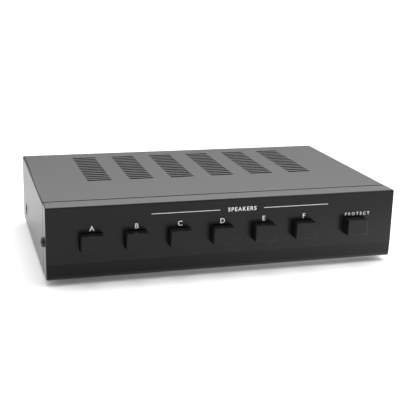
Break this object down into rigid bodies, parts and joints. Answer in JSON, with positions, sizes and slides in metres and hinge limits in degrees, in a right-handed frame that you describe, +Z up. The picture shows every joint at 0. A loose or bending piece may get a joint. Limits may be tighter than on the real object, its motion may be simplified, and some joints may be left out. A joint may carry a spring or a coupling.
{
  "type": "speaker selector switch",
  "caption": "Low black steel case with a row of square push buttons on the front, slotted vents in the cover and spring wire terminals on the back.",
  "frame": {"origin": "centre of the bounding box at the underside of the feet", "axes": "+Z up, +X to the right seen from the front, -Y towards the person who faces the buttons"},
  "size_m": [0.336, 0.2256, 0.072],
  "materials": {
    "cover_paint": "satin black powder paint with a fine grain",
    "panel_paint": "satin black paint, smooth",
    "rear_paint": "satin black powder paint",
    "bare_steel": "zinc plated sheet steel",
    "button_plastic": "black moulded plastic, fine matt texture",
    "terminal_plastic": "black moulded plastic",
    "lever_red": "red moulded plastic",
    "lever_black": "black moulded plastic",
    "switch_plastic": "black moulded plastic",
    "circuit_board": "green lacquered glass fibre board",
    "cement": "white cement filled ceramic case",
    "cable_sleeve": "grey flat cable sleeve",
    "tinned_brass": "tinned brass",
    "zinc_screw": "zinc plated steel",
    "black_screw": "black oxide steel",
    "foot_rubber": "matt black rubber"
  },
  "bodies": {
    "case": {"cover": "cover_paint", "front_panel": "panel_paint", "chassis": "bare_steel", "rear_panel": "rear_paint", "switch_bodies": "switch_plastic", "switch_board": "circuit_board", "main_board": "circuit_board", "rear_board": "circuit_board", "load_resistors": "cement", "switch_cables": "cable_sleeve", "terminal_cables": "cable_sleeve", "terminal_tags": "tinned_brass", "inner_screws": "zinc_screw", "terminal_screws": "black_screw", "cover_screws": "black_screw", "front_panel_screws": "black_screw", "feet": "foot_rubber", "foot_screws": "zinc_screw", "terminal_housing_a": "terminal_plastic", "terminal_housing_b": "terminal_plastic", "terminal_housing_c": "terminal_plastic", "terminal_housing_d": "terminal_plastic", "terminal_housing_e": "terminal_plastic", "terminal_housing_f": "terminal_plastic", "terminal_housing_input": "terminal_plastic"},
    "button_a": {"button_a": "button_plastic"},
    "button_b": {"button_b": "button_plastic"},
    "button_c": {"button_c": "button_plastic"},
    "button_d": {"button_d": "button_plastic"},
    "button_e": {"button_e": "button_plastic"},
    "button_f": {"button_f": "button_plastic"},
    "button_protection": {"button_protection": "button_plastic"},
    "lever_a_left_red": {"lever_a_left_red": "lever_red"},
    "lever_a_left_black": {"lever_a_left_black": "lever_black"},
    "lever_a_right_red": {"lever_a_right_red": "lever_red"},
    "lever_a_right_black": {"lever_a_right_black": "lever_black"},
    "lever_b_left_red": {"lever_b_left_red": "lever_red"},
    "lever_b_left_black": {"lever_b_left_black": "lever_black"},
    "lever_b_right_red": {"lever_b_right_red": "lever_red"},
    "lever_b_right_black": {"lever_b_right_black": "lever_black"},
    "lever_c_left_red": {"lever_c_left_red": "lever_red"},
    "lever_c_left_black": {"lever_c_left_black": "lever_black"},
    "lever_c_right_red": {"lever_c_right_red": "lever_red"},
    "lever_c_right_black": {"lever_c_right_black": "lever_black"},
    "lever_d_left_red": {"lever_d_left_red": "lever_red"},
    "lever_d_left_black": {"lever_d_left_black": "lever_black"},
    "lever_d_right_red": {"lever_d_right_red": "lever_red"},
    "lever_d_right_black": {"lever_d_right_black": "lever_black"},
    "lever_e_left_red": {"lever_e_left_red": "lever_red"},
    "lever_e_left_black": {"lever_e_left_black": "lever_black"},
    "lever_e_right_red": {"lever_e_right_red": "lever_red"},
    "lever_e_right_black": {"lever_e_right_black": "lever_black"},
    "lever_f_left_red": {"lever_f_left_red": "lever_red"},
    "lever_f_left_black": {"lever_f_left_black": "lever_black"},
    "lever_f_right_red": {"lever_f_right_red": "lever_red"},
    "lever_f_right_black": {"lever_f_right_black": "lever_black"},
    "lever_input_left_red": {"lever_input_left_red": "lever_red"},
    "lever_input_left_black": {"lever_input_left_black": "lever_black"},
    "lever_input_right_red": {"lever_input_right_red": "lever_red"},
    "lever_input_right_black": {"lever_input_right_black": "lever_black"}
  },
  "joints": [
    {"name": "press_a", "type": "slide", "parent": "case", "child": "button_a", "axis": [0, 1, 0], "range_m": [0, 0.0045], "stiffness_N_per_m": 250, "springref_m": -0.004},
    {"name": "press_b", "type": "slide", "parent": "case", "child": "button_b", "axis": [0, 1, 0], "range_m": [0, 0.0045], "stiffness_N_per_m": 250, "springref_m": -0.004},
    {"name": "press_c", "type": "slide", "parent": "case", "child": "button_c", "axis": [0, 1, 0], "range_m": [0, 0.0045], "stiffness_N_per_m": 250, "springref_m": -0.004},
    {"name": "press_d", "type": "slide", "parent": "case", "child": "button_d", "axis": [0, 1, 0], "range_m": [0, 0.0045], "stiffness_N_per_m": 250, "springref_m": -0.004},
    {"name": "press_e", "type": "slide", "parent": "case", "child": "button_e", "axis": [0, 1, 0], "range_m": [0, 0.0045], "stiffness_N_per_m": 250, "springref_m": -0.004},
    {"name": "press_f", "type": "slide", "parent": "case", "child": "button_f", "axis": [0, 1, 0], "range_m": [0, 0.0045], "stiffness_N_per_m": 250, "springref_m": -0.004},
    {"name": "press_protection", "type": "slide", "parent": "case", "child": "button_protection", "axis": [0, 1, 0], "range_m": [0, 0.0045], "stiffness_N_per_m": 250, "springref_m": -0.004},
    {"name": "tilt_a_left_red", "type": "hinge", "parent": "case", "child": "lever_a_left_red", "pos_m": [-0.1376, 0.10475, 0.0585], "axis": [-1, 0, 0], "range_deg": [0, 20], "stiffness_Nm_per_rad": 0.02, "springref_deg": -20.05},
    {"name": "tilt_a_left_black", "type": "hinge", "parent": "case", "child": "lever_a_left_black", "pos_m": [-0.1234, 0.10475, 0.0585], "axis": [-1, 0, 0], "range_deg": [0, 20], "stiffness_Nm_per_rad": 0.02, "springref_deg": -20.05},
    {"name": "tilt_a_right_red", "type": "hinge", "parent": "case", "child": "lever_a_right_red", "pos_m": [-0.1376, 0.10475, 0.0373], "axis": [-1, 0, 0], "range_deg": [0, 20], "stiffness_Nm_per_rad": 0.02, "springref_deg": -20.05},
    {"name": "tilt_a_right_black", "type": "hinge", "parent": "case", "child": "lever_a_right_black", "pos_m": [-0.1234, 0.10475, 0.0373], "axis": [-1, 0, 0], "range_deg": [0, 20], "stiffness_Nm_per_rad": 0.02, "springref_deg": -20.05},
    {"name": "tilt_b_left_red", "type": "hinge", "parent": "case", "child": "lever_b_left_red", "pos_m": [-0.0941, 0.10475, 0.0585], "axis": [-1, 0, 0], "range_deg": [0, 20], "stiffness_Nm_per_rad": 0.02, "springref_deg": -20.05},
    {"name": "tilt_b_left_black", "type": "hinge", "parent": "case", "child": "lever_b_left_black", "pos_m": [-0.0799, 0.10475, 0.0585], "axis": [-1, 0, 0], "range_deg": [0, 20], "stiffness_Nm_per_rad": 0.02, "springref_deg": -20.05},
    {"name": "tilt_b_right_red", "type": "hinge", "parent": "case", "child": "lever_b_right_red", "pos_m": [-0.0941, 0.10475, 0.0373], "axis": [-1, 0, 0], "range_deg": [0, 20], "stiffness_Nm_per_rad": 0.02, "springref_deg": -20.05},
    {"name": "tilt_b_right_black", "type": "hinge", "parent": "case", "child": "lever_b_right_black", "pos_m": [-0.0799, 0.10475, 0.0373], "axis": [-1, 0, 0], "range_deg": [0, 20], "stiffness_Nm_per_rad": 0.02, "springref_deg": -20.05},
    {"name": "tilt_c_left_red", "type": "hinge", "parent": "case", "child": "lever_c_left_red", "pos_m": [-0.0506, 0.10475, 0.0585], "axis": [-1, 0, 0], "range_deg": [0, 20], "stiffness_Nm_per_rad": 0.02, "springref_deg": -20.05},
    {"name": "tilt_c_left_black", "type": "hinge", "parent": "case", "child": "lever_c_left_black", "pos_m": [-0.0364, 0.10475, 0.0585], "axis": [-1, 0, 0], "range_deg": [0, 20], "stiffness_Nm_per_rad": 0.02, "springref_deg": -20.05},
    {"name": "tilt_c_right_red", "type": "hinge", "parent": "case", "child": "lever_c_right_red", "pos_m": [-0.0506, 0.10475, 0.0373], "axis": [-1, 0, 0], "range_deg": [0, 20], "stiffness_Nm_per_rad": 0.02, "springref_deg": -20.05},
    {"name": "tilt_c_right_black", "type": "hinge", "parent": "case", "child": "lever_c_right_black", "pos_m": [-0.0364, 0.10475, 0.0373], "axis": [-1, 0, 0], "range_deg": [0, 20], "stiffness_Nm_per_rad": 0.02, "springref_deg": -20.05},
    {"name": "tilt_d_left_red", "type": "hinge", "parent": "case", "child": "lever_d_left_red", "pos_m": [-0.0071, 0.10475, 0.0585], "axis": [-1, 0, 0], "range_deg": [0, 20], "stiffness_Nm_per_rad": 0.02, "springref_deg": -20.05},
    {"name": "tilt_d_left_black", "type": "hinge", "parent": "case", "child": "lever_d_left_black", "pos_m": [0.0071, 0.10475, 0.0585], "axis": [-1, 0, 0], "range_deg": [0, 20], "stiffness_Nm_per_rad": 0.02, "springref_deg": -20.05},
    {"name": "tilt_d_right_red", "type": "hinge", "parent": "case", "child": "lever_d_right_red", "pos_m": [-0.0071, 0.10475, 0.0373], "axis": [-1, 0, 0], "range_deg": [0, 20], "stiffness_Nm_per_rad": 0.02, "springref_deg": -20.05},
    {"name": "tilt_d_right_black", "type": "hinge", "parent": "case", "child": "lever_d_right_black", "pos_m": [0.0071, 0.10475, 0.0373], "axis": [-1, 0, 0], "range_deg": [0, 20], "stiffness_Nm_per_rad": 0.02, "springref_deg": -20.05},
    {"name": "tilt_e_left_red", "type": "hinge", "parent": "case", "child": "lever_e_left_red", "pos_m": [0.0364, 0.10475, 0.0585], "axis": [-1, 0, 0], "range_deg": [0, 20], "stiffness_Nm_per_rad": 0.02, "springref_deg": -20.05},
    {"name": "tilt_e_left_black", "type": "hinge", "parent": "case", "child": "lever_e_left_black", "pos_m": [0.0506, 0.10475, 0.0585], "axis": [-1, 0, 0], "range_deg": [0, 20], "stiffness_Nm_per_rad": 0.02, "springref_deg": -20.05},
    {"name": "tilt_e_right_red", "type": "hinge", "parent": "case", "child": "lever_e_right_red", "pos_m": [0.0364, 0.10475, 0.0373], "axis": [-1, 0, 0], "range_deg": [0, 20], "stiffness_Nm_per_rad": 0.02, "springref_deg": -20.05},
    {"name": "tilt_e_right_black", "type": "hinge", "parent": "case", "child": "lever_e_right_black", "pos_m": [0.0506, 0.10475, 0.0373], "axis": [-1, 0, 0], "range_deg": [0, 20], "stiffness_Nm_per_rad": 0.02, "springref_deg": -20.05},
    {"name": "tilt_f_left_red", "type": "hinge", "parent": "case", "child": "lever_f_left_red", "pos_m": [0.0799, 0.10475, 0.0585], "axis": [-1, 0, 0], "range_deg": [0, 20], "stiffness_Nm_per_rad": 0.02, "springref_deg": -20.05},
    {"name": "tilt_f_left_black", "type": "hinge", "parent": "case", "child": "lever_f_left_black", "pos_m": [0.0941, 0.10475, 0.0585], "axis": [-1, 0, 0], "range_deg": [0, 20], "stiffness_Nm_per_rad": 0.02, "springref_deg": -20.05},
    {"name": "tilt_f_right_red", "type": "hinge", "parent": "case", "child": "lever_f_right_red", "pos_m": [0.0799, 0.10475, 0.0373], "axis": [-1, 0, 0], "range_deg": [0, 20], "stiffness_Nm_per_rad": 0.02, "springref_deg": -20.05},
    {"name": "tilt_f_right_black", "type": "hinge", "parent": "case", "child": "lever_f_right_black", "pos_m": [0.0941, 0.10475, 0.0373], "axis": [-1, 0, 0], "range_deg": [0, 20], "stiffness_Nm_per_rad": 0.02, "springref_deg": -20.05},
    {"name": "tilt_input_left_red", "type": "hinge", "parent": "case", "child": "lever_input_left_red", "pos_m": [0.1234, 0.10475, 0.0585], "axis": [-1, 0, 0], "range_deg": [0, 20], "stiffness_Nm_per_rad": 0.02, "springref_deg": -20.05},
    {"name": "tilt_input_left_black", "type": "hinge", "parent": "case", "child": "lever_input_left_black", "pos_m": [0.1376, 0.10475, 0.0585], "axis": [-1, 0, 0], "range_deg": [0, 20], "stiffness_Nm_per_rad": 0.02, "springref_deg": -20.05},
    {"name": "tilt_input_right_red", "type": "hinge", "parent": "case", "child": "lever_input_right_red", "pos_m": [0.1234, 0.10475, 0.0373], "axis": [-1, 0, 0], "range_deg": [0, 20], "stiffness_Nm_per_rad": 0.02, "springref_deg": -20.05},
    {"name": "tilt_input_right_black", "type": "hinge", "parent": "case", "child": "lever_input_right_black", "pos_m": [0.1376, 0.10475, 0.0373], "axis": [-1, 0, 0], "range_deg": [0, 20], "stiffness_Nm_per_rad": 0.02, "springref_deg": -20.05}
  ]
}
